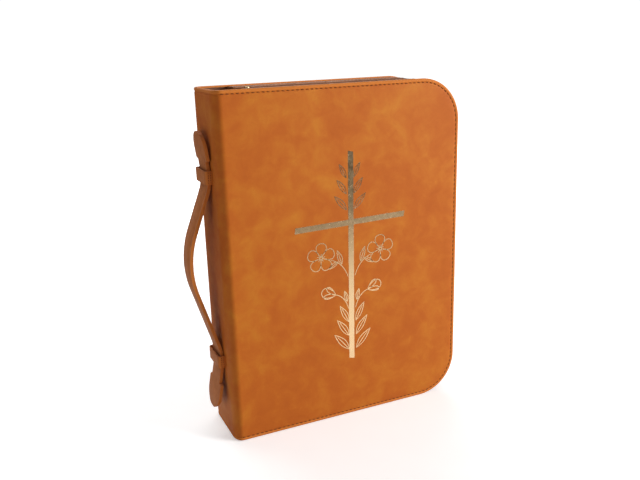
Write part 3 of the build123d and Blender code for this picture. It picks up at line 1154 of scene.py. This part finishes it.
def makeSprigs():
    bpy.ops.object.select_all(action="DESELECT")
    data = bpy.data.curves.new("foilSprigs", "CURVE")
    data.dimensions = "3D"
    data.bevel_depth = foil["line"]
    data.bevel_resolution = 1
    data.use_fill_caps = True
    for line in sprigs:
        spline = data.splines.new("POLY")
        spline.use_cyclic_u = math.dist(line[0], line[-1]) < foil["join"]
        if spline.use_cyclic_u:
            line = line[:-1]
        spline.points.add(len(line) - 1)
        for index, (point, (u, z)) in enumerate(zip(spline.points, line)):
            x, height = onCover((u, z))
            point.co = (x, case["frontY"], height, 1)
            point.radius = 0.72 + 0.28 * math.sin(math.pi * index / max(1, len(line) - 1))
    obj = bpy.data.objects.new("foilSprigs", data)
    bpy.context.scene.collection.objects.link(obj)
    pickOnly(obj)
    bpy.ops.object.convert(target="MESH")
    obj = bpy.context.active_object
    startEdit(obj)

    def press(co):
        rise = (co.y - case["frontY"]) / (0.4 * foil["line"])
        return Vector((co.x, case["frontY"] + foil["sprig"] * min(1, max(-1, rise)), co.z))

    moveVerts(obj, press)
    endEdit()
    bpy.ops.object.shade_flat()
    finishPiece(obj, "front_cover", goldFoil)


makeSprigs()
print("foil cross made")


# studio

camera = {
    "place": (case["spineX"] - 131.8 * mm, -487.7 * mm, 290.8 * mm),
    "yaw": 24.05,
    "pitch": -15.815,
    "roll": -1.732,
    "lens": 40.03,
}


def makeCamera():
    data = bpy.data.cameras.new("caseCamera")
    data.lens = camera["lens"]
    data.sensor_width = 36
    obj = bpy.data.objects.new("caseCamera", data)
    bpy.context.scene.collection.objects.link(obj)
    aim = Matrix.Rotation(-math.radians(camera["yaw"]), 4, "Z")
    aim = aim @ Matrix.Rotation(math.radians(90 + camera["pitch"]), 4, "X")
    aim = aim @ Matrix.Rotation(math.radians(camera["roll"]), 4, "Z")
    obj.matrix_world = Matrix.Translation(camera["place"]) @ aim
    bpy.context.scene.camera = obj


def areaLight(name, place, target, size, power):
    data = bpy.data.lights.new(name, "AREA")
    data.shape = "RECTANGLE"
    data.size, data.size_y = size
    data.energy = power
    obj = bpy.data.objects.new(name, data)
    bpy.context.scene.collection.objects.link(obj)
    obj.location = place
    obj.rotation_mode = "QUATERNION"
    obj.rotation_quaternion = (Vector(target) - Vector(place)).to_track_quat("-Z", "Y")


def makeFloor():
    # pale where it is seen or mirrored, darker as a bounce, so that the spine stays in shade
    bpy.ops.object.select_all(action="DESELECT")
    bpy.ops.mesh.primitive_plane_add(size=8, location=(0, 0, -0.2 * mm))
    obj = bpy.context.active_object
    obj.name = "studioFloor"
    settle(obj)
    material, tree, shader = newTree("paleFloor")
    place = put(tree, "ShaderNodeTexCoord")
    speck = put(tree, "ShaderNodeTexNoise", {
        "Vector": place.outputs["Object"], "Scale": 40.0, "Detail": 3.0})
    pale = mixColour(tree, speck.outputs["Fac"], (0.86, 0.86, 0.86), (0.90, 0.90, 0.90))
    path = put(tree, "ShaderNodeLightPath")
    split = put(tree, "ShaderNodeSeparateXYZ", {"Vector": place.outputs["Object"]})
    nearness = put(tree, "ShaderNodeMapRange", {
        "Value": split.outputs["Y"], "From Min": -studio["darkEdge"], "From Max": -studio["paleEdge"],
        "To Min": 0.0, "To Max": 1.0}, interpolation_type="SMOOTHSTEP")
    behind = put(tree, "ShaderNodeMapRange", {
        "Value": split.outputs["Y"], "From Min": 0.02, "From Max": 0.4, "To Min": 1.0, "To Max": 0.15})
    paleness = calculate(tree, "MULTIPLY", nearness.outputs["Result"], behind.outputs["Result"])
    mirrored = calculate(tree, "MULTIPLY", path.outputs["Is Glossy Ray"], paleness)
    shown = calculate(tree, "MAXIMUM", path.outputs["Is Camera Ray"], mirrored)
    away = calculate(tree, "SUBTRACT", path.outputs["Is Glossy Ray"], mirrored)
    unseen = mixColour(tree, away, studio["bounce"], studio["dark"])
    floorColour = mixColour(tree, shown, unseen, pale)
    tree.links.new(floorColour, shader.inputs["Base Color"])
    tree.links.new(floorColour, shader.inputs["Emission Color"])
    reach = put(tree, "ShaderNodeVectorMath", {"Vector": place.outputs["Object"]}, operation="LENGTH")
    distance = put(tree, "ShaderNodeMapRange", {
        "Value": reach.outputs["Value"], "From Min": 0.3, "From Max": 1.1, "To Min": studio["glow"],
        "To Max": 1.1}, interpolation_type="SMOOTHSTEP")
    glow = calculate(tree, "MULTIPLY", shown, distance.outputs["Result"])
    tree.links.new(glow, shader.inputs["Emission Strength"])
    shader.inputs["Roughness"].default_value = 0.9
    shader.inputs["Specular IOR Level"].default_value = 0.0
    obj.data.materials.append(material)


studio = {
    "bounce": (0.66, 0.58, 0.46),
    "dark": (0.008, 0.005, 0.003),
    "glow": 0.42,
    "paleEdge": 0.05,
    "darkEdge": 0.72,
    "zenith": (0.33, 0.33, 0.33),
    "horizon": (0.10, 0.09, 0.08),
    "below": (0.05, 0.03, 0.015),
    "key": ((1.35, -1.05, 0.55), (0.7, 0.5), 36),
    "fill": ((-1.0, -0.50, 0.2), (0.6, 0.6), 1.7),
    "back": ((0.1, 0.9, 1.1), (1.6, 0.8), 14),
}


def makeStudio():
    world = bpy.data.worlds.new("studioWorld")
    bpy.context.scene.world = world
    world.use_nodes = True
    tree = world.node_tree
    background = tree.nodes["Background"]
    place = put(tree, "ShaderNodeTexCoord")
    split = put(tree, "ShaderNodeSeparateXYZ", {"Vector": place.outputs["Generated"]})
    height = calculate(tree, "MULTIPLY_ADD", split.outputs["Z"], 0.5, 0.5)
    room = ramp(tree, height, [
        (0.44, studio["below"]), (0.52, studio["horizon"]), (0.85, studio["zenith"])])
    path = put(tree, "ShaderNodeLightPath")
    tree.links.new(mixColour(tree, path.outputs["Is Camera Ray"], room, (1.05, 1.05, 1.05)),
                   background.inputs["Color"])
    target = (0, 0, case["top"] / 2)
    for name in ("key", "fill", "back"):
        place, size, power = studio[name]
        areaLight(name + "Light", place, target if name != "back" else (0.1, 0.6, 0), size, power)
    bpy.context.scene.view_settings.view_transform = "Standard"
    bpy.context.scene.view_settings.look = "None"


makeFloor()
makeStudio()
makeCamera()
print("studio made")
